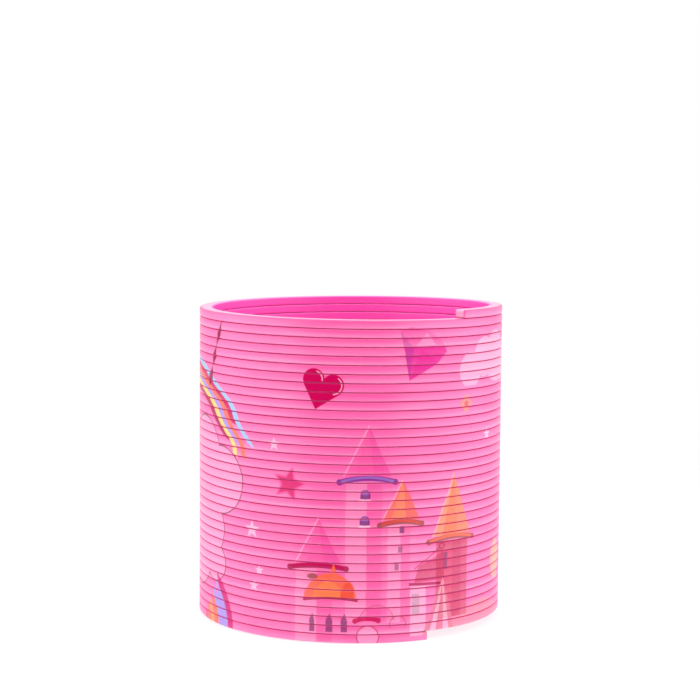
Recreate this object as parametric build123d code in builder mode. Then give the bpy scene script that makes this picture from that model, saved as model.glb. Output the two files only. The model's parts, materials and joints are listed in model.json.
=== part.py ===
from build123d import *
import math
import os

# A coil spring toy: one flat plastic strip wound into a closed left-handed helix.
# Millimetres. +Z is the coil's axis, the origin is under its middle at table level, -Y is the front.
#
# The strip has no joints of its own: it bends all along. It is divided here into links that are
# half a turn long and meet in the XZ plane, at the left (-X) and right (+X) sides of the coil,
# because a link that turns about a side seam opens the coil at the other side.

# ---- driving dimensions
OUTER_DIAMETER = 55.0
STRIP_WIDTH = 2.4  # radial
STRIP_THICKNESS = 1.39  # along the axis
PITCH = 1.54  # rise of one turn; the closed turns lie this far apart
TIP_RADIUS = 0.3  # on the edges of its two cut ends
SEAM_GAP = 0.02  # between one link and the next

# ---- where the strip starts, and how it is divided, in degrees along the strip
TIP_AZIMUTH = -60.0  # of the lower tip, from +X towards +Y, so it is front right
TO_FIRST_SEAM = 120.0  # from the lower tip, clockwise from above, to the left side
TURN = 360.0
HALF = TURN / 2
BOTTOM_TURNS = 6  # whole turns of the lower stack, past the first seam
MOVING_HALVES = 47
TOP_TURNS = 5  # whole turns of the upper stack, below the end piece
TOP_END = 405.0  # length of the upper end piece

MEAN_RADIUS = (OUTER_DIAMETER - STRIP_WIDTH) / 2
FIRST_Z = STRIP_THICKNESS / 2  # height of the strip's middle at its lower tip
HALF_GAP = math.degrees(SEAM_GAP / 2 / MEAN_RADIUS)  # what a link leaves free at a seam, along it


def radial_plane(along):
    """The upright plane across the strip at a length along it: x outwards, y up."""
    angle = math.radians(TIP_AZIMUTH - along)
    outwards = Vector(math.cos(angle), math.sin(angle), 0)
    onwards = Vector(math.sin(angle), -math.cos(angle), 0)
    centre = outwards * MEAN_RADIUS + Vector(0, 0, FIRST_Z + PITCH * along / TURN)
    return Plane(origin=centre, x_dir=outwards, z_dir=onwards)


def link(name, start, end):
    """One length of the strip, swept along its stretch of the helix; returns where it ends."""
    lower = start if name == "bottom_end" else start + HALF_GAP
    upper = end if name == "top_end" else end - HALF_GAP
    first = radial_plane(lower)
    axis_foot = first.origin - first.x_dir * MEAN_RADIUS
    with BuildPart() as piece:
        with BuildLine(Plane(origin=axis_foot, x_dir=first.x_dir, z_dir=(0, 0, 1))) as route:
            Helix(pitch=PITCH, height=PITCH * (upper - lower) / TURN, radius=MEAN_RADIUS, lefthand=True)
        with BuildSketch(first):
            Rectangle(STRIP_WIDTH, STRIP_THICKNESS)
        sweep(path=route.line, is_frenet=True)
        if name == "bottom_end":
            fillet(tip_edges(piece, lower), TIP_RADIUS)
        if name == "top_end":
            fillet(tip_edges(piece, upper), TIP_RADIUS)
    piece.part.label = name
    export_step(piece.part, f"parts/{name}.step")
    return end


def tip_edges(piece, along):
    """The edges round the cut face at one end of the strip."""
    return piece.faces().sort_by_distance(radial_plane(along).origin)[0].edges()


os.makedirs("parts", exist_ok=True)

# ---- lower stack: the end piece, with the lower tip, and whole turns above it
reached = link("bottom_end", 0, TO_FIRST_SEAM + TURN)
for turn in range(1, BOTTOM_TURNS):
    reached = link(f"bottom_turn_{turn}", reached, reached + TURN)

# ---- moving halves, behind the axis and in front of it by turns
for half in range(MOVING_HALVES):
    side = "front" if half % 2 else "back"
    reached = link(f"turn_{half // 2 + 1:02d}_{side}", reached, reached + HALF)

# ---- upper stack: whole turns, and the end piece with the upper tip
for turn in range(1, TOP_TURNS + 1):
    reached = link(f"top_turn_{turn}", reached, reached + TURN)
reached = link("top_end", reached, reached + TOP_END)

print("turns of strip:", round(reached / TURN, 3))
print("height of the closed coil:", round(PITCH * reached / TURN + STRIP_THICKNESS, 3))
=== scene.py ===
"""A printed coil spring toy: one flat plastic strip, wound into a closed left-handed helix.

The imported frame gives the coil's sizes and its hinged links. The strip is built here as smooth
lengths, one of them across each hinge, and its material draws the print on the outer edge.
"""

import json
import math

import bpy
import numpy as np
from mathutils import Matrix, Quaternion, Vector

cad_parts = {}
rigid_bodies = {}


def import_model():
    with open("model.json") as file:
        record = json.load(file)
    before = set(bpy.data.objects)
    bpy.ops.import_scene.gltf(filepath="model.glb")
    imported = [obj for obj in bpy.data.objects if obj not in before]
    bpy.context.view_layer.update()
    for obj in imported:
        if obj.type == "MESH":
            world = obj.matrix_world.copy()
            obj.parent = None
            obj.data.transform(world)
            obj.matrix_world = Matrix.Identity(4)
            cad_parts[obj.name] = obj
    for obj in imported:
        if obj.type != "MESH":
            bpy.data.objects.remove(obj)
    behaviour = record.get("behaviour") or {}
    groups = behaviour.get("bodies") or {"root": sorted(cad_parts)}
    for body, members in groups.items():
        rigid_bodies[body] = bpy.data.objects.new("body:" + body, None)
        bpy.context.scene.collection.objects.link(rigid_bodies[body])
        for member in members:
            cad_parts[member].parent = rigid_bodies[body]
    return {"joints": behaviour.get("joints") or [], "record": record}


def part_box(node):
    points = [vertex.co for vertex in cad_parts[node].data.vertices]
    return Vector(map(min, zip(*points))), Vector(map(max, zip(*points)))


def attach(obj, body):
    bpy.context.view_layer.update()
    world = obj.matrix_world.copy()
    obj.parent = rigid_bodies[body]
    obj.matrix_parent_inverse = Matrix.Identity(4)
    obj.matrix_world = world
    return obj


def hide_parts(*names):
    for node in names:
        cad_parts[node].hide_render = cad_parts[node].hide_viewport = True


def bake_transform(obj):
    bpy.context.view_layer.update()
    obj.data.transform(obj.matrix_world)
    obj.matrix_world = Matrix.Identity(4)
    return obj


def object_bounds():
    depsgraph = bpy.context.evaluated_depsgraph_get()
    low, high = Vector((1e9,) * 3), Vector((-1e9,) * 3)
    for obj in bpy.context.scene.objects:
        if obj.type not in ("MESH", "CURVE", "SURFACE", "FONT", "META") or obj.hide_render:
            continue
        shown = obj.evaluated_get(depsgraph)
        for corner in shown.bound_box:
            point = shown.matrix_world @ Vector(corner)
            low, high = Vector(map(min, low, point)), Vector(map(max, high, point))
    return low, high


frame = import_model()
cad_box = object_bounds()

MM = 0.001

# ---- sizes read from the frame, in millimetres, and places along the strip in degrees
turn_low, turn_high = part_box("bottom_turn_1")
seam_heights = [joint["pos_m"][2] / MM for joint in frame["joints"]]
PITCH = 2 * (seam_heights[-1] - seam_heights[0]) / (len(seam_heights) - 1)
OUTER_RADIUS = turn_high.x / MM
CAD_THICKNESS = (turn_high.z - turn_low.z) / MM - PITCH
WIDTH = 2.4  # radial, as in the CAD model
MEAN_RADIUS = OUTER_RADIUS - WIDTH / 2
HEIGHT = cad_box[1].z / MM
STRIP_END = (HEIGHT - CAD_THICKNESS) / PITCH * 360
FIRST_SEAM = (seam_heights[0] - CAD_THICKNESS / 2) / PITCH * 360  # at the left side of the coil
TIP_AZIMUTH = (FIRST_SEAM - 90) % 360  # of the lower tip, from the front towards the right

# ---- the strip's section, and how finely it is drawn
TURN_GAP = 0.05  # closed turns rest on each other, so the CAD model's clearance is mostly filled
THICKNESS = PITCH - TURN_GAP
OUTER_CORNER = 0.27
INNER_CORNER = 0.22
CORNER_STEPS = 5
CROWN = 0.03  # how far the outer edge bulges
FLAT_SUPPORT = 0.05  # an extra point this far into each flat keeps it flat when shaded smooth
STEP = 1.5  # degrees along the strip from one ring of points to the next
TIP_ROUND = 0.35  # at the strip's two cut ends
TIP_RINGS = 6


def strip_section():
    """The strip's outline as points (outwards, up) about its middle, counterclockwise."""
    half_width, half_height = WIDTH / 2, THICKNESS / 2
    corners = (
        (1, 1, OUTER_CORNER),
        (-1, 1, INNER_CORNER),
        (-1, -1, INNER_CORNER),
        (1, -1, OUTER_CORNER),
    )
    points = []
    for quarter, (side, level, radius) in enumerate(corners):
        centre = np.array([side * (half_width - radius), level * (half_height - radius)])
        turned = np.radians(90 * (quarter + np.linspace(0, 1, CORNER_STEPS + 1)))
        outwards = np.stack([np.cos(turned), np.sin(turned)], -1)
        onwards = np.stack([-np.sin(turned), np.cos(turned)], -1)
        arc = centre + radius * outwards
        points += [arc[0] - FLAT_SUPPORT * onwards[0], *arc, arc[-1] + FLAT_SUPPORT * onwards[-1]]
    outline = np.array(points)
    outside = outline[:, 0] > 0
    outline[outside, 0] -= CROWN * (outline[outside, 1] / half_height) ** 2
    return outline


SECTION = strip_section()


def places_along(start, end):
    """Places of the rings from start to end, and how far the section draws in at each: it does over
    a quarter round at the strip's own two ends."""
    places = np.linspace(start, end, max(2, round((end - start) / STEP) + 1))
    inset = np.zeros(len(places))
    bend = np.linspace(0, math.pi / 2, TIP_RINGS + 1)
    from_end = np.degrees(TIP_ROUND * (1 - np.sin(bend)) / MEAN_RADIUS)
    drawn_in = TIP_ROUND * (1 - np.cos(bend))
    if start < STEP / 2:
        kept = places > start + from_end[0]
        places = np.concatenate([start + from_end[::-1], places[kept]])
        inset = np.concatenate([drawn_in[::-1], inset[kept]])
    if end > STRIP_END - STEP / 2:
        kept = places < end - from_end[0]
        places = np.concatenate([places[kept], end - from_end])
        inset = np.concatenate([inset[kept], drawn_in])
    return places, inset


def strip_mesh(name, start, end):
    """The strip from start to end, closed by caps, which have rings of points of their own so that
    their edges stay sharp. Its attributes say where each point is in the print and in the strip."""
    places, inset = (np.pad(values, 1, "edge") for values in places_along(start, end))
    half_size = np.array([WIDTH / 2, THICKNESS / 2])
    outline = SECTION * (1 - inset[:, None, None] / half_size)
    out, up = outline[..., 0], outline[..., 1]
    along = np.broadcast_to(places[:, None], out.shape)
    azimuth = np.radians(TIP_AZIMUTH - along)
    radius = MEAN_RADIUS + out
    height = CAD_THICKNESS / 2 + PITCH * along / 360 + up
    height = np.clip(height, 0, HEIGHT)  # both ends rest flat, in the CAD model's box
    points = np.stack([radius * np.sin(azimuth), -radius * np.cos(azimuth), height], -1)

    index = np.arange(out.size).reshape(out.shape)
    beside = np.roll(index, -1, axis=1)
    quads = np.stack([index[1:-2], beside[1:-2], beside[2:-1], index[2:-1]], -1)
    faces = quads.reshape(-1, 4).tolist() + [index[0][::-1].tolist(), index[-1].tolist()]
    mesh = bpy.data.meshes.new(name)
    mesh.from_pydata((points.reshape(-1, 3) * MM).tolist(), [], faces)
    mesh.shade_smooth()

    places_of = {
        "print_place": (OUTER_RADIUS * azimuth, height, out),
        "strip_place": (MEAN_RADIUS * np.radians(along), up, out),
    }
    for label, place in places_of.items():
        values = np.stack(place, -1).astype(np.float32)
        attribute = mesh.attributes.new(label, "FLOAT_VECTOR", "POINT")
        attribute.data.foreach_set("vector", values.ravel())
    return mesh


# ---- node arithmetic, so that a material reads as formulas
class Field:
    """A number, or a vector, that varies over the surface: a node's socket with arithmetic."""

    def __init__(self, tree, socket):
        self.tree = tree
        self.socket = socket

    def node(self, kind, operation, *inputs, output=0, clamp=False):
        made = self.tree.nodes.new(kind)
        made.operation = operation
        if clamp:
            made.use_clamp = True
        for slot, value in zip(made.inputs, inputs):
            if isinstance(value, Field):
                self.tree.links.new(value.socket, slot)
            else:
                slot.default_value = value
        return Field(self.tree, made.outputs[output])

    def math(self, operation, *others, clamp=False):
        return self.node("ShaderNodeMath", operation, self, *others, clamp=clamp)

    def __add__(self, other):
        return self.math("ADD", other)

    def __sub__(self, other):
        return self.math("SUBTRACT", other)

    def __rsub__(self, other):
        return self.node("ShaderNodeMath", "SUBTRACT", other, self)

    def __mul__(self, other):
        return self.math("MULTIPLY", other)

    def __abs__(self):
        return self.math("ABSOLUTE")

    def __or__(self, other):
        """The union of two shapes, given as distances outside their edges."""
        return self.math("MINIMUM", other)

    def __and__(self, other):
        """What two shapes share."""
        return self.math("MAXIMUM", other)

    def wrapped(self, low, high):
        return self.math("WRAP", high, low)

    def times(self, other, plus):
        return self.math("MULTIPLY_ADD", other, plus)


class Place(Field):
    """The surface's place in the print: across (mm right of the front's middle) and height."""

    def __init__(self, tree, across, height):
        combine = tree.nodes.new("ShaderNodeCombineXYZ")
        tree.links.new(across.socket, combine.inputs["X"])
        tree.links.new(height.socket, combine.inputs["Y"])
        super().__init__(tree, combine.outputs["Vector"])
        self.across = across
        self.height = height

    def vector(self, operation, *others, output=0):
        return self.node("ShaderNodeVectorMath", operation, self, *others, output=output)

    def turned(self, x, z, angle):
        """The same surface, measured from (x, z) along axes turned counterclockwise by angle."""
        return Place(self.tree, self.half_plane(x, z, angle), self.half_plane(x, z, angle + 90))

    # Each shape is the distance outside its edge, in millimetres, and below 0 inside it.
    def half_plane(self, x, z, angle):
        """Everything behind a line through (x, z); angle is where the line's open side faces."""
        normal = (math.cos(math.radians(angle)), math.sin(math.radians(angle)), 0)
        return self.vector("DOT_PRODUCT", normal, output=1) - (x * normal[0] + z * normal[1])

    def disc(self, x, z, radius):
        return self.vector("DISTANCE", (x, z, 0), output=1) - radius

    def discs(self, *discs):
        shape = self.disc(*discs[0])
        for disc in discs[1:]:
            shape = shape | self.disc(*disc)
        return shape

    def oval(self, x, z, half_width, half_height):
        """An upright or flat oval; the distance is right near its edge."""
        shrink = (1 / half_width, 1 / half_height, 0)
        moved = self.vector("MULTIPLY_ADD", shrink, (-x / half_width, -z / half_height, 0))
        size = moved.node("ShaderNodeVectorMath", "LENGTH", moved, output=1)
        return (size - 1) * min(half_width, half_height)

    def box(self, x, z, half_width, half_height):
        return (abs(self.across - x) - half_width) & (abs(self.height - z) - half_height)

    def polygon(self, *corners):
        """A shape with straight edges that bulges everywhere; its corners go counterclockwise."""
        shape = None
        for (x, z), (next_x, next_z) in zip(corners, corners[1:] + corners[:1]):
            angle = math.degrees(math.atan2(x - next_x, next_z - z))
            side = self.half_plane(x, z, angle)
            shape = side if shape is None else shape & side
        return shape

    def line(self, x, z, to_x, to_z, thickness):
        angle = math.degrees(math.atan2(to_z - z, to_x - x))
        length = math.hypot(to_x - x, to_z - z)
        local = self.turned((x + to_x) / 2, (z + to_z) / 2, angle)
        return local.box(0, 0, length / 2, thickness / 2)

    def arch(self, x, foot, half_width, spring):
        """A window or a gate: straight sides up to spring, and a round head."""
        middle = (foot + spring) / 2
        straight = self.box(x, middle, half_width, (spring - foot) / 2)
        return straight | self.disc(x, spring, half_width)

    def ring(self, x, z, radius, thickness):
        return abs(self.disc(x, z, radius)) - thickness / 2

    def bow(self, x, z, half_width, sag, thickness):
        """A bar with round ends that arches up in its middle, like a roof's brim."""
        radius = (half_width**2 + sag**2) / (2 * sag)
        bar = self.ring(x, z - radius, radius, thickness) & (abs(self.across - x) - half_width)
        bar = bar & (z - 2 * sag - self.height)
        ends = [(x + side * half_width, z - sag, thickness * 0.6) for side in (-1, 1)]
        return bar | self.discs(*ends)

    def star(self, x, z, points, radius, waist, turned=90):
        """A star with straight edges between its points and its waist."""
        local = self.turned(x, z, turned)
        angle = local.node("ShaderNodeMath", "ARCTAN2", local.height, local.across)
        step = math.pi / points
        folded = abs(angle.wrapped(-step, step))
        tip = np.array([radius, 0.0])
        dent = waist * np.array([math.cos(step), math.sin(step)])
        normal = np.array([dent[1] - tip[1], tip[0] - dent[0]])
        normal /= np.linalg.norm(normal)
        spread = (folded - math.atan2(normal[1], normal[0])).math("COSINE")
        return local.disc(0, 0, 0) * spread - float(normal @ tip)


class Paint:
    """A colour that shapes are laid over, one after another."""

    EDGE = 0.13  # how softly an edge of ink ends, in millimetres

    def __init__(self, tree, colour):
        self.tree = tree
        self.colour = colour

    def lay(self, shape, ink, strength):
        """Lays ink inside a shape; strength is how much of what is below it covers."""
        self.mix(shape.math("MULTIPLY_ADD", -1 / self.EDGE, 0.5, clamp=True) * strength, ink)

    def mix(self, cover, ink):
        blend = self.tree.nodes.new("ShaderNodeMix")
        blend.data_type = "RGBA"
        self.tree.links.new(cover.socket, blend.inputs["Factor"])
        for label, value in (("A", self.colour), ("B", ink)):
            slot = next(s for s in blend.inputs if s.name == label and s.type == "RGBA")
            if isinstance(value, bpy.types.NodeSocket):
                self.tree.links.new(value, slot)
            else:
                slot.default_value = (*value, 1)
        self.colour = next(s for s in blend.outputs if s.type == "RGBA")


LIGHT_NEEDED = 0.84  # surfaces are this much darker than they show, as the studio is so bright


def shown(red, green, blue):
    """The linear colour of a surface that shows as this colour, 0 to 255, in the studio's light."""
    shares = [value / 255 for value in (red, green, blue)]
    seen = [c / 12.92 if c <= 0.04045 else ((c + 0.055) / 1.055) ** 2.4 for c in shares]
    return tuple(LIGHT_NEEDED * c for c in seen)


# ---- inks of the print
CRIMSON = shown(196, 6, 80)
DARK_CRIMSON = shown(160, 8, 70)
BERRY = shown(196, 8, 110)
MAGENTA = shown(218, 8, 138)
PALE_PINK = shown(255, 176, 214)
CLOUD_WHITE = shown(255, 226, 240)
CORAL = shown(228, 54, 90)
PEACH = shown(246, 134, 138)
ORANGE = shown(252, 92, 28)
LIGHT_ORANGE = shown(252, 140, 58)
BURNT_ORANGE = shown(226, 58, 36)
BROWN = shown(150, 52, 44)
PURPLE = shown(112, 30, 138)
LAVENDER = shown(140, 132, 218)
LILAC = shown(152, 104, 186)
MAUVE = shown(128, 44, 104)
BROWN_PINK = shown(190, 40, 84)
HOT_PINK = shown(238, 60, 142)
YELLOW = shown(250, 206, 84)
SKY = shown(118, 190, 226)
INK_LINE = shown(70, 22, 58)


def print_sky(paint, at):
    """A heart, a gem, a cloud, a flower, a star and sparkles, above the castle."""
    heart = at.turned(-4.9, 43.9, -17)
    left = heart.half_plane(0, -3.8, 221.8)
    point = left & heart.half_plane(0, -3.8, -41.8) & (heart.height + 0.25)
    paint.lay(heart.discs((-1.75, 1, 1.9), (1.75, 1, 1.9), (0, 0.1, 1.7)) | point, CRIMSON, 1.0)
    left_shine = heart.ring(-1.75, 1, 1.5, 0.18) & (1.2 - heart.height) & (-1.7 - heart.across)
    right_shine = heart.ring(1.75, 1, 1.5, 0.18) & (2.2 - heart.across)
    paint.lay(left_shine | right_shine, PALE_PINK, 0.75)

    gem = at.polygon(
        (8.6, 53.6), (10.3, 45.1), (15.9, 48.0), (17.6, 49.9), (16.6, 51.8), (14.2, 53.4),
        (10.6, 54.3),
    )
    paint.lay(gem, MAGENTA, 0.42)
    paint.lay(gem & at.half_plane(9.1, 50.9, 88), MAGENTA, 0.7)
    paint.lay(at.polygon((8.6, 53.6), (10.3, 45.1), (10.9, 50.8)), PURPLE, 0.3)
    paint.lay(at.polygon((10.3, 45.1), (15.9, 48.0), (12.4, 50.4)), MAGENTA, 0.3)
    paint.lay(at.polygon((11.4, 51.0), (15.4, 51.0), (13.6, 53.2)), PALE_PINK, 0.3)

    cloud = at.discs((23.9, 46.3, 3.1), (28.2, 48.4, 3.5), (33.2, 48.2, 4.6), (37.9, 46.3, 4.5))
    paint.lay(cloud & (43.6 - at.height), CLOUD_WHITE, 0.28)
    petals = at.discs((22.6, 41.4, 0.7), (22.6, 39.7, 0.7), (21.8, 40.5, 0.7), (23.4, 40.5, 0.7))
    paint.lay(petals, LIGHT_ORANGE, 0.6)
    paint.lay(at.disc(22.6, 40.5, 0.55), CORAL, 0.85)
    stem = at.line(23.2, 38.6, 24.8, 33.0, 0.25) | at.line(24.8, 33.0, 27.8, 26.5, 0.25)
    paint.lay(stem, CORAL, 0.3)
    paint.lay(at.star(-10.7, 27.2, 5, 3.15, 1.6, 4), HOT_PINK, 0.92)
    paint.lay(at.star(-10.7, 27.2, 5, 2.6, 1.2, 4), CRIMSON, 0.6)
    sparkles = ((-13.5, 33.9, 1.2), (-18.1, 18.7, 1.7), (-16.5, 11.7, 1.0), (-17.6, 8.9, 1.1))
    for x, z, size in sparkles:
        paint.lay(at.star(x, z, 5, size, 0.42 * size), CLOUD_WHITE, 0.4)


def tower(paint, at, wall, roof, brim, walls, roofs, brims):
    """A tower: its wall's middle, half width, foot and top; its roof's foot, half width and apex;
    and its brim's half width and rise. Walls and roofs are inks with their strengths, all over, on
    the lit side and in the shade; brims are the inks of a brim and of the light on it."""
    x, half_width, foot, top = wall
    roof_foot, overhang, apex = roof
    middle, half_height = (foot + top) / 2, (top - foot) / 2
    whole, lit, shaded = walls
    paint.lay(at.box(x, middle, half_width, half_height), *whole)
    paint.lay(at.box(x - 0.45 * half_width, middle, half_width * 0.42, half_height), *lit)
    paint.lay(at.box(x + 0.27 * half_width, middle, half_width * 0.3, half_height), *shaded)
    paint.lay(at.box(x, top - 0.6, half_width, 0.8), brims[0], 0.12)
    left, right, tip = (x - overhang, roof_foot), (x + overhang, roof_foot), (x + 0.2, apex)
    near, far = (x - 0.55 * overhang, roof_foot), (x + 0.25 * overhang, roof_foot)
    base, light, dark = roofs
    paint.lay(at.polygon(left, right, tip), *base)
    paint.lay(at.polygon(near, far, tip), *light)
    paint.lay(at.polygon(far, right, tip), *dark)
    paint.lay(at.line(*left, *tip, 0.22), CLOUD_WHITE, 0.3)
    half, sag = brim
    paint.lay(at.bow(x, roof_foot - 0.3, half, sag, 0.9), brims[0], 0.9)
    paint.lay(at.bow(x, roof_foot - 0.15, half - 0.5, sag, 0.4), brims[1], 0.75)


def print_castle(paint, at):
    """A castle of pointed towers along the foot of the print."""
    paint.lay(at.oval(27.5, -0.4, 9.5, 5.8), PEACH, 0.5)
    pinks = ((HOT_PINK, 0.3), (HOT_PINK, 0.3), (MAGENTA, 0.35))
    oranges = ((ORANGE, 0.74), (LIGHT_ORANGE, 0.4), (BURNT_ORANGE, 0.35))
    pale_oranges = ((LIGHT_ORANGE, 0.74), (ORANGE, 0.6), (BURNT_ORANGE, 0.25))
    pale_walls = ((PALE_PINK, 0.04), (CLOUD_WHITE, 0.13), (HOT_PINK, 0.36))
    brown_walls = ((BROWN_PINK, 0.72), (CORAL, 0.2), (BROWN_PINK, 0.4))
    tower(
        paint, at, (3.1, 4.3, 4.0, 27.9), (28.9, 4.1, 37.6), (4.8, 0.7),
        pale_walls, pinks, (PURPLE, LILAC),
    )
    tower(
        paint, at, (19.6, 3.7, 3.4, 16.9), (17.9, 4.4, 28.6), (5.2, 0.6),
        brown_walls, pale_oranges, (BROWN, ORANGE),
    )
    tower(
        paint, at, (9.1, 2.8, 3.6, 20.4), (21.3, 3.4, 28.2), (3.8, 0.55),
        pale_walls, oranges, (BROWN, BURNT_ORANGE),
    )
    tower(
        paint, at, (-5.4, 4.5, 0.3, 12.8), (13.8, 4.0, 21.7), (4.9, 0.5),
        pale_walls, pinks, (DARK_CRIMSON, CRIMSON),
    )

    x, half_width = 2.65, 0.85
    for foot, spring in ((25.1, 25.8), (20.6, 21.3)):
        paint.lay(at.arch(x, foot, half_width, spring), PURPLE, 0.8)
        paint.lay(at.arch(x, foot, half_width - 0.3, spring - 0.1), LILAC, 0.5)
        paint.lay(at.box(x, foot + 0.3, half_width, 0.35), MAUVE, 0.7)
        paint.lay(at.box(x, foot - 0.35, half_width * 1.15, 0.18), CLOUD_WHITE, 0.5)
    paint.lay(at.arch(9.15, 19.0, 0.42, 19.8), MAUVE, 0.9)
    slits = (
        (8.9, 16.2, 0.4, 0.55), (8.3, 13.2, 0.38, 0.6), (17.9, 13.5, 0.45, 1.5),
        (11.85, 6.5, 0.75, 1.8),
    )
    for slit in slits:
        paint.lay(at.box(*slit), MAUVE, 0.72)

    dome = at.oval(-3.2, 7.6, 4.55, 4.6) & (7.7 - at.height)
    paint.lay(dome | at.polygon((-3.4, 11.6), (-1.8, 11.6), (-2.6, 13.9)), ORANGE, 0.86)
    paint.lay(at.oval(-3.6, 7.6, 2.6, 3.2) & dome, LIGHT_ORANGE, 0.4)
    paint.lay(at.oval(-0.2, 7.6, 1.2, 3.2) & dome, BURNT_ORANGE, 0.7)
    paint.lay(at.oval(-6.3, 11.6, 0.95, 0.5), BROWN, 0.85)
    paint.lay(at.bow(-3.2, 7.9, 4.5, 0.35, 0.45), DARK_CRIMSON, 0.9)
    for x, half_width in ((-6.3, 0.45), (-3.3, 0.6), (-0.75, 0.55)):
        window = at.box(x, 3.1, half_width, 1.05)
        head = at.polygon((x - half_width, 4.1), (x + half_width, 4.1), (x, 5.3))
        paint.lay(window | head, MAUVE, 0.85)

    above_gate = 3.9 - at.height
    paint.lay(at.disc(4.8, 3.6, 3.1) & above_gate, MAGENTA, 0.22)
    paint.lay(at.ring(4.8, 3.6, 3.1, 0.2) & above_gate, CRIMSON, 0.5)
    paint.lay(at.bow(3.15, 4.4, 2.0, 0.4, 0.8), CRIMSON, 0.9)
    paint.lay(at.disc(3.3, 1.2, 1.9), PALE_PINK, 0.4)
    paint.lay(at.ring(3.3, 1.2, 1.9, 0.24), CRIMSON, 0.75)
    paint.lay(at.ring(8.6, 3.2, 1.45, 0.24) & (2.6 - at.height), BROWN, 0.6)

    paint.lay(at.box(12.4, 5.2, 1.5, 4.3), CLOUD_WHITE, 0.28)
    roof = at.polygon((11.5, 10.2), (17.7, 10.4), (17.4, 15.2), (12.4, 13.0))
    paint.lay(roof, BROWN_PINK, 0.72)
    ridge = at.line(11.6, 12.6, 16.6, 15.9, 0.3) | at.ring(17.1, 16.2, 0.5, 0.3)
    paint.lay(ridge, DARK_CRIMSON, 0.6)
    paint.lay(at.line(10.5, 10.0, 16.9, 9.7, 0.5), DARK_CRIMSON, 0.85)

    peak = (17.4, 10.6)
    paint.lay(at.polygon((13.2, 0.9), (20.2, 0.9), peak), CLOUD_WHITE, 0.34)
    for left, right in ((13.2, 14.6), (15.9, 17.6), (19.0, 20.2)):
        paint.lay(at.polygon((left, 0.9), (right, 0.9), peak), CRIMSON, 0.62)
    paint.lay(at.oval(34.6, 11.4, 2.6, 3.6), YELLOW, 0.4)


def ribbon(paint, at, x, z, outer, bands, step, start):
    """Flowing bands of ink about (x, z) from the angle start, each with its own slanting end."""
    for number, (ink, last) in enumerate(bands):
        radius = outer - step * (number + 0.5)
        tip = math.radians(last)
        end = at.half_plane(x + radius * math.cos(tip), z + radius * math.sin(tip), last - 148)
        span = end & at.half_plane(x, z, start + 90)
        paint.lay(at.ring(x, z, radius, step) & span, ink, 0.88)
        paint.lay(at.ring(x, z, radius - step / 2, 0.14) & span, INK_LINE, 0.3)


def print_sides(paint, at):
    """A cloud, two flowing ribbons and a trail of sparkles, at the left of the castle."""
    cloud = at.discs((-26.4, 26.4, 6.0), (-33.5, 30.5, 6.6), (-37.0, 23.6, 6.0), (-31.0, 17.5, 5.6))
    cloud = cloud | at.discs((-36.4, 12.5, 6.4), (-28.4, 11.5, 3.4))
    paint.lay(cloud, CLOUD_WHITE, 0.16)
    paint.lay(abs(cloud) - 0.12, INK_LINE, 0.85)
    wave = (at.height * 0.9).math("SINE") * 0.45
    flowing = Place(at.tree, at.across + wave, at.height)
    bands = (
        (SKY, 27), (CRIMSON, 38), (ORANGE, 23), (LAVENDER, 31), (YELLOW, 26), (DARK_CRIMSON, 36)
    )
    ribbon(paint, flowing, -41.0, 22.0, 25.2, bands, 0.95, 92)
    bands = (
        (BERRY, -12), (LAVENDER, -16), (LAVENDER, -14), (ORANGE, -20), (LIGHT_ORANGE, -18),
        (ORANGE, -20), (CORAL, -22),
    )
    ribbon(paint, at, -34.2, 0.2, 11.4, bands, 1.5, 140)

    trail = at.turned(-28.8, 48.5, -22)
    for z, half_length, half_width in ((-4.6, 1.9, 0.8), (-0.6, 1.8, 0.65), (3.7, 2.3, 0.5)):
        foot, head = (0, z - half_length), (0, z + half_length)
        spark = trail.polygon(foot, (half_width, z), head, (-half_width, z))
        paint.lay(spark - 0.12, INK_LINE, 0.75)
        paint.lay(spark + 0.1, DARK_CRIMSON, 0.9)
    paint.lay(at.star(29.5, 34.5, 5, 1.3, 0.5), CLOUD_WHITE, 0.5)


# ---- the plastic
SHADED_DEEP_PINK = shown(243, 70, 149)  # painted shade along the top of each turn; also the clouding's deep tone
PAINTED_LIT_PINK = shown(251, 125, 185)  # painted light along its foot
PAINTED_LIGHT_PINK = shown(250, 170, 204)  # painted light through its flats, and painted highlight in the pale streaks of its clouding
# Painted light on the inner side, standing in for light coming through the walls.
INNER_LIT_PINK = shown(255, 85, 188)
# Painted shade in the grooves between turns.
GROOVE_SHADE_PINK = shown(214, 70, 140)
CLOUDING = (0.06, 0.8, 3)  # noise in the plastic: how drawn out it is, its scale and its detail
DRAWN_LINES = (0.02, 5.0, 4)  # and the same for the lines along the strip
LINE_DEPTH = 0.006
LINE_STRENGTH = 0.6
ROUGHNESS = (0.24, 0.16)  # at its least, and how much the lines add
IOR = 1.56  # of the plain plastic
PRINT_REPEAT = math.pi * OUTER_RADIUS  # the picture comes twice round the coil
SLIP = 0.5  # how far the turns have slipped sideways since they were printed
SLIP_SCALE = 1.7
PRINT_EDGE = 0.15  # the print covers the outer edge and ends this far round its corners


def attribute_parts(tree, name):
    """A mesh attribute's three numbers."""
    source = tree.nodes.new("ShaderNodeAttribute")
    source.attribute_name = name
    parts = tree.nodes.new("ShaderNodeSeparateXYZ")
    tree.links.new(source.outputs["Vector"], parts.inputs["Vector"])
    return [Field(tree, parts.outputs[axis]) for axis in "XYZ"]


def noise(tree, along, up, out, ratio, scale, detail):
    """Noise that is drawn out along the strip."""
    combine = tree.nodes.new("ShaderNodeCombineXYZ")
    for value, slot in zip((along * ratio, up, out), combine.inputs):
        tree.links.new(value.socket, slot)
    texture = tree.nodes.new("ShaderNodeTexNoise")
    texture.inputs["Scale"].default_value = scale
    texture.inputs["Detail"].default_value = detail
    tree.links.new(combine.outputs["Vector"], texture.inputs["Vector"])
    return Field(tree, texture.outputs["Fac"])


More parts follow.
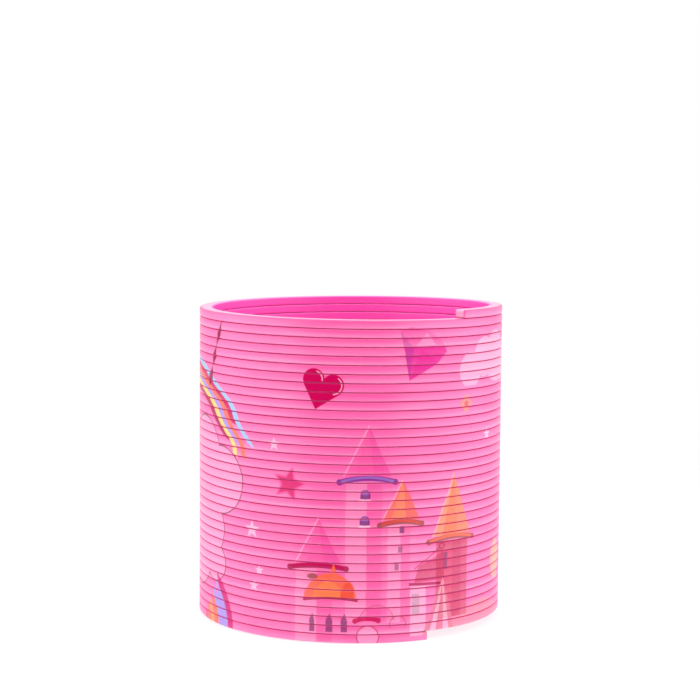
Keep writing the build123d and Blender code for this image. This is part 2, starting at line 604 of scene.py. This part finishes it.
def plastic_colour(tree, along, up, out):
    """Pink with painted shade up each turn and painted light along its foot, random clouding whose
    pale streaks toward the foot are painted highlights, painted light through the inner side and
    the flats, and painted shade in the grooves.
    """
    # Painted shade: the pink darkens up each turn, from painted light along its foot.
    rise = up.math("MULTIPLY_ADD", 1 / THICKNESS, 0.5, clamp=True)
    paint = Paint(tree, PAINTED_LIT_PINK)
    paint.mix(rise.math("POWER", 0.85), SHADED_DEEP_PINK)
    cloudy = noise(tree, along, up, out, *CLOUDING)
    # Random pale clouding toward each turn's foot, painted as highlight streaks.
    pale = (cloudy - 0.46).math("MULTIPLY", 3.0, clamp=True) * (1 - rise)
    paint.mix(pale * 0.5, PAINTED_LIGHT_PINK)
    paint.mix((0.44 - cloudy).math("MULTIPLY", 2.5, clamp=True), SHADED_DEEP_PINK)
    # Painted light: the inner side is brighter and deeper pink, as if lit through the walls.
    paint.mix(out.math("MULTIPLY", -2.0, clamp=True), INNER_LIT_PINK)
    # Painted shade in the grooves between turns, on the outer side only.
    groove_shade = abs(abs(up) - THICKNESS / 2).math("MULTIPLY_ADD", -1 / OUTER_CORNER, 1.0, clamp=True)
    paint.mix(groove_shade * 0.5 * out.math("MULTIPLY", 2.0, clamp=True), GROOVE_SHADE_PINK)
    # Painted light: the flats between turns are paler, as if lit through the plastic.
    flat = (abs(out) - (WIDTH / 2 - OUTER_CORNER)).math("MULTIPLY", -6.0, clamp=True)
    paint.mix(flat * 0.85, PAINTED_LIGHT_PINK)
    return paint.colour


def printed_colour(tree, plain, arc, height, along, up, out):
    """The plain colour with the print over it on the outer edge."""
    once_round = 1 / (2 * math.pi * MEAN_RADIUS)
    slip = noise(tree, along, up * 0, out * 0, once_round, SLIP_SCALE, 1)
    across = (arc + (slip - 0.5) * SLIP).wrapped(-PRINT_REPEAT / 2, PRINT_REPEAT / 2)
    at = Place(tree, across, height)
    paint = Paint(tree, plain)
    print_sky(paint, at)
    print_sides(paint, at)
    print_castle(paint, at)
    outside = (out - (WIDTH / 2 - PRINT_EDGE)).math("MULTIPLY", 20.0, clamp=True)
    both = Paint(tree, plain)
    both.mix(outside, paint.colour)
    return both.colour


def printed_plastic():
    """Glossy pink plastic with lines along it, and inks that shine less the darker they are."""
    material = bpy.data.materials.new("printed_pink_plastic")
    material.use_nodes = True
    tree = material.node_tree
    shader = tree.nodes["Principled BSDF"]
    arc, height, _ = attribute_parts(tree, "print_place")
    along, up, out = attribute_parts(tree, "strip_place")

    plain = plastic_colour(tree, along, up, out)
    colour = printed_colour(tree, plain, arc, height, along, up, out)
    tree.links.new(colour, shader.inputs["Base Color"])
    parts = tree.nodes.new("ShaderNodeSeparateColor")
    tree.links.new(colour, parts.inputs["Color"])
    shine = Field(tree, parts.outputs["Green"]).math("MULTIPLY", 1 / SHADED_DEEP_PINK[1], clamp=True)
    mirrored = shine.math("SQRT") * ((IOR - 1) / (IOR + 1))
    index = (mirrored + 1).math("DIVIDE", 1 - mirrored)
    tree.links.new(index.socket, shader.inputs["IOR"])

    lines = noise(tree, along, up, out, *DRAWN_LINES)
    bump = tree.nodes.new("ShaderNodeBump")
    bump.inputs["Distance"].default_value = LINE_DEPTH * MM
    bump.inputs["Strength"].default_value = LINE_STRENGTH
    tree.links.new(lines.socket, bump.inputs["Height"])
    tree.links.new(bump.outputs["Normal"], shader.inputs["Normal"])
    least, added = ROUGHNESS
    tree.links.new(lines.times(added, least).socket, shader.inputs["Roughness"])
    return material


# ---- the strip's pieces
def strip_piece(name, start, end, material, nodes):
    piece = bpy.data.objects.new(name, strip_mesh(name, start, end))
    bpy.context.scene.collection.objects.link(piece)
    piece.data.materials.append(material)
    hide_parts(*nodes)
    return piece


def build_strip(material):
    """The lower stack, a bend across each hinge, and the upper stack. Pieces meet in the middle of
    the front and of the back, where a bend has wholly come over to the next link."""
    members = frame["record"]["behaviour"]["bodies"]
    chain = [frame["joints"][0]["parent"]] + [joint["child"] for joint in frame["joints"]]
    lower, upper = chain[0], chain[-1]

    first_bend = FIRST_SEAM - 90
    reached = 0.0
    for number, node in enumerate(members[lower]):
        end = first_bend - 360 * (len(members[lower]) - 1 - number)
        piece = strip_piece(f"lower_turn_{number + 1}", reached, end, material, [node])
        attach(piece, lower)
        reached = end

    front = Vector((0, -OUTER_RADIUS * MM, 0))
    for number, (before, after) in enumerate(zip(chain, chain[1:])):
        nodes = [members[before][-1], members[after][0]]
        piece = strip_piece(f"bend_{number + 1:02d}", reached, reached + 180, material, nodes)
        way = 1 if number % 2 == 0 else -1
        way * front
        -way * front
        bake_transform(piece)
        reached += 180

    for number, node in enumerate(members[upper]):
        end = STRIP_END if number == len(members[upper]) - 1 else reached + 360
        piece = strip_piece(f"upper_turn_{number + 1}", reached, end, material, [node])
        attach(piece, upper)
        reached = end


# ---- the room: a pale floor, soft light and the camera
FLOOR_SIZE = 12.0
FLOOR_COLOUR = (0.86, 0.86, 0.87)
FLOOR_ROUGHNESS = 0.6
FLOOR_SHINE = 0.1
FLOOR_FADE = (0.03, 0.22)  # metres from the toy over which the floor turns clear
NEAR_CLEARNESS = 0.75  # how clear the floor already is under the toy
WHITE = (1.0, 1.0, 1.0)
STUDIO_LIGHT = 2.1
ROOM = (  # its share by direction, from the back, 0, past the sides to the photographer, 1
    (0.12, 0.42),
    (0.45, 1.0),
    (0.86, 1.0),
    (0.93, 0.05),
)


def floor_material():
    """Pale near the toy and clear from a little further off, so that the white room goes on."""
    material = bpy.data.materials.new("pale_floor")
    material.use_nodes = True
    tree = material.node_tree
    shader = tree.nodes["Principled BSDF"]
    shader.inputs["Base Color"].default_value = (*FLOOR_COLOUR, 1)
    shader.inputs["Roughness"].default_value = FLOOR_ROUGHNESS
    shader.inputs["Specular IOR Level"].default_value = FLOOR_SHINE
    place = tree.nodes.new("ShaderNodeTexCoord")
    reach = tree.nodes.new("ShaderNodeVectorMath")
    reach.operation = "LENGTH"
    tree.links.new(place.outputs["Object"], reach.inputs[0])
    fade = tree.nodes.new("ShaderNodeMapRange")
    fade.interpolation_type = "SMOOTHSTEP"
    fade.inputs["From Min"].default_value, fade.inputs["From Max"].default_value = FLOOR_FADE
    fade.inputs["To Min"].default_value = NEAR_CLEARNESS
    tree.links.new(reach.outputs["Value"], fade.inputs["Value"])
    clear = tree.nodes.new("ShaderNodeBsdfTransparent")
    mixed = tree.nodes.new("ShaderNodeMixShader")
    tree.links.new(fade.outputs["Result"], mixed.inputs["Fac"])
    tree.links.new(shader.outputs["BSDF"], mixed.inputs[1])
    tree.links.new(clear.outputs["BSDF"], mixed.inputs[2])
    tree.links.new(mixed.outputs["Shader"], tree.nodes["Material Output"].inputs["Surface"])
    return material


def make_floor():
    half = FLOOR_SIZE / 2
    corners = [(-half, -half, 0), (half, -half, 0), (half, half, 0), (-half, half, 0)]
    mesh = bpy.data.meshes.new("floor")
    mesh.from_pydata(corners, [], [(0, 1, 2, 3)])
    mesh.materials.append(floor_material())
    floor = bpy.data.objects.new("floor", mesh)
    bpy.context.scene.collection.objects.link(floor)


def make_world():
    """A white room, darker towards the photographer; the backdrop itself shows as plain white."""
    world = bpy.data.worlds.new("studio")
    world.use_nodes = True
    tree = world.node_tree
    background = tree.nodes["Background"]
    background.inputs["Color"].default_value = (*WHITE, 1)
    place = tree.nodes.new("ShaderNodeTexCoord")
    facing = tree.nodes.new("ShaderNodeVectorMath")
    facing.operation = "DOT_PRODUCT"
    facing.inputs[1].default_value = (0, -1, 0)
    tree.links.new(place.outputs["Generated"], facing.inputs[0])
    turned = Field(tree, facing.outputs["Value"]).times(0.5, 0.5)
    ramp = tree.nodes.new("ShaderNodeValToRGB")
    ramp.color_ramp.interpolation = "EASE"
    stops = ramp.color_ramp.elements
    for _ in ROOM[2:]:
        stops.new(0.5)
    for stop, (place_in_room, share) in zip(stops, ROOM):
        stop.position = place_in_room
        stop.color = (share, share, share, 1)
    tree.links.new(turned.socket, ramp.inputs["Fac"])
    level = Field(tree, ramp.outputs["Color"]) * STUDIO_LIGHT
    ray = tree.nodes.new("ShaderNodeLightPath")
    strength = tree.nodes.new("ShaderNodeMix")
    tree.links.new(ray.outputs["Is Camera Ray"], strength.inputs[0])
    tree.links.new(level.socket, strength.inputs[2])
    strength.inputs[3].default_value = 1.0
    tree.links.new(strength.outputs[0], background.inputs["Strength"])
    bpy.context.scene.world = world


SOFTBOXES = (  # each one's name, place, width, height and power
    ("left_softbox", (-0.7, 0.05, 0.3), 0.6, 0.5, 0.5),
    ("right_softbox", (0.7, 0.05, 0.3), 0.6, 0.5, 0.5),
    ("high_softbox", (0, -0.3, 0.8), 0.5, 0.4, 0.8),
)


def make_lights():
    middle = Vector((0, 0, HEIGHT * MM / 2))
    for name, place, width, height, power in SOFTBOXES:
        lamp = bpy.data.lights.new(name, "AREA")
        lamp.shape = "RECTANGLE"
        lamp.size, lamp.size_y = width, height
        lamp.energy = power
        holder = bpy.data.objects.new(name, lamp)
        holder.location = place
        holder.rotation_mode = "QUATERNION"
        holder.rotation_quaternion = (middle - Vector(place)).to_track_quat("-Z", "Y")
        bpy.context.scene.collection.objects.link(holder)


EYE_DISTANCE = 0.350
EYE_HEIGHT = 0.0798
LOOKS_DOWN = 5.2  # degrees
ROLL = 0.47
SENSOR = 36.0
LENS = 98.9
SIDE_SHIFT = -0.001
CLIP = (0.01, 20.0)


def make_camera():
    lens = bpy.data.cameras.new("camera")
    lens.sensor_width = SENSOR
    lens.lens = LENS
    lens.shift_x = SIDE_SHIFT
    lens.clip_start, lens.clip_end = CLIP
    camera = bpy.data.objects.new("camera", lens)
    camera.location = (0, -EYE_DISTANCE, EYE_HEIGHT)
    camera.rotation_mode = "QUATERNION"
    tilt = Quaternion((1, 0, 0), math.radians(90 - LOOKS_DOWN))
    camera.rotation_quaternion = tilt @ Quaternion((0, 0, 1), math.radians(ROLL))
    bpy.context.scene.collection.objects.link(camera)
    bpy.context.scene.camera = camera


bpy.context.scene.view_settings.view_transform = "Standard"
make_camera()
make_world()
make_lights()
make_floor()
build_strip(printed_plastic())
